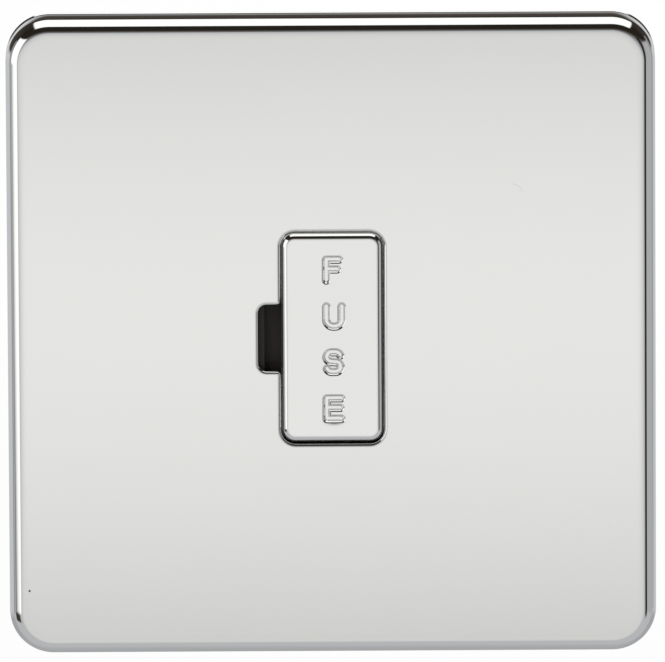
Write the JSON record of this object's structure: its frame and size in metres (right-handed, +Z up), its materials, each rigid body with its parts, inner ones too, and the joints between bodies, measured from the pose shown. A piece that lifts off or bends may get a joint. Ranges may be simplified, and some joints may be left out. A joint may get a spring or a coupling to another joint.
{
  "type": "fused spur unit",
  "caption": "Flush square wall plate in mirror chrome over a moulded fuse unit, with a pull-out fuse carrier in a central window and wire terminals behind.",
  "frame": {"origin": "middle of the square plate, on the plane of the wall that its rim meets, midway between the fixing holes", "axes": "+X to the right and +Z up as the plate is seen on the wall, +Y into the wall"},
  "size_m": [0.088, 0.0297, 0.088],
  "materials": {
    "polished_chrome": "mirror polished plating",
    "black_moulding": "fine moulded satin",
    "white_moulding": "moulded urea, low gloss",
    "zinc_steel": "bright zinc plating",
    "contact_brass": "rolled spring brass",
    "terminal_brass": "machined brass",
    "screw_steel": "zinc plated turned steel",
    "spring_steel": "tempered strip",
    "fuse_ceramic": "glazed ceramic",
    "fuse_cap_plating": "nickel plated brass"
  },
  "bodies": {
    "base": {"mounting_yoke": "zinc_steel", "fuse_housing": "black_moulding", "rear_housing": "white_moulding", "housing_screws": "screw_steel", "line_supply_contact": "contact_brass", "line_load_contact": "contact_brass", "neutral_link": "contact_brass", "plate_springs": "spring_steel", "plate_earth_spring": "spring_steel", "spring_rivets": "screw_steel", "line_supply_terminal": "terminal_brass", "line_load_terminal": "terminal_brass", "neutral_supply_terminal": "terminal_brass", "neutral_load_terminal": "terminal_brass", "earth_supply_terminal": "terminal_brass", "earth_load_terminal": "terminal_brass"},
    "front_cover": {"front_plate": "polished_chrome", "plate_liner": "black_moulding"},
    "fuse_carrier": {"fuse_carrier_cap": "polished_chrome", "fuse_carrier_tray": "black_moulding", "fuse_tube": "fuse_ceramic", "fuse_end_cap_upper": "fuse_cap_plating", "fuse_end_cap_lower": "fuse_cap_plating"},
    "line_supply_clamp": {"line_supply_screw": "screw_steel"},
    "line_load_clamp": {"line_load_screw": "screw_steel"},
    "neutral_supply_clamp": {"neutral_supply_screw": "screw_steel"},
    "neutral_load_clamp": {"neutral_load_screw": "screw_steel"},
    "earth_supply_clamp": {"earth_supply_screw": "screw_steel"},
    "earth_load_clamp": {"earth_load_screw": "screw_steel"}
  },
  "joints": [
    {"name": "fuse_carrier_pull", "type": "slide", "parent": "base", "child": "fuse_carrier", "axis": [0, -1, 0], "range_m": [0, 0.013]},
    {"name": "front_cover_pull", "type": "slide", "parent": "base", "child": "front_cover", "axis": [0, -1, 0], "range_m": [0, 0.012]},
    {"name": "line_supply_screw_travel", "type": "slide", "parent": "base", "child": "line_supply_clamp", "axis": [0, -1, 0], "range_m": [0, 0.0036]},
    {"name": "line_load_screw_travel", "type": "slide", "parent": "base", "child": "line_load_clamp", "axis": [0, -1, 0], "range_m": [0, 0.0036]},
    {"name": "neutral_supply_screw_travel", "type": "slide", "parent": "base", "child": "neutral_supply_clamp", "axis": [0, -1, 0], "range_m": [0, 0.0036]},
    {"name": "neutral_load_screw_travel", "type": "slide", "parent": "base", "child": "neutral_load_clamp", "axis": [0, -1, 0], "range_m": [0, 0.0036]},
    {"name": "earth_supply_screw_travel", "type": "slide", "parent": "base", "child": "earth_supply_clamp", "axis": [0, -1, 0], "range_m": [0, 0.0036]},
    {"name": "earth_load_screw_travel", "type": "slide", "parent": "base", "child": "earth_load_clamp", "axis": [0, -1, 0], "range_m": [0, 0.0036]}
  ]
}
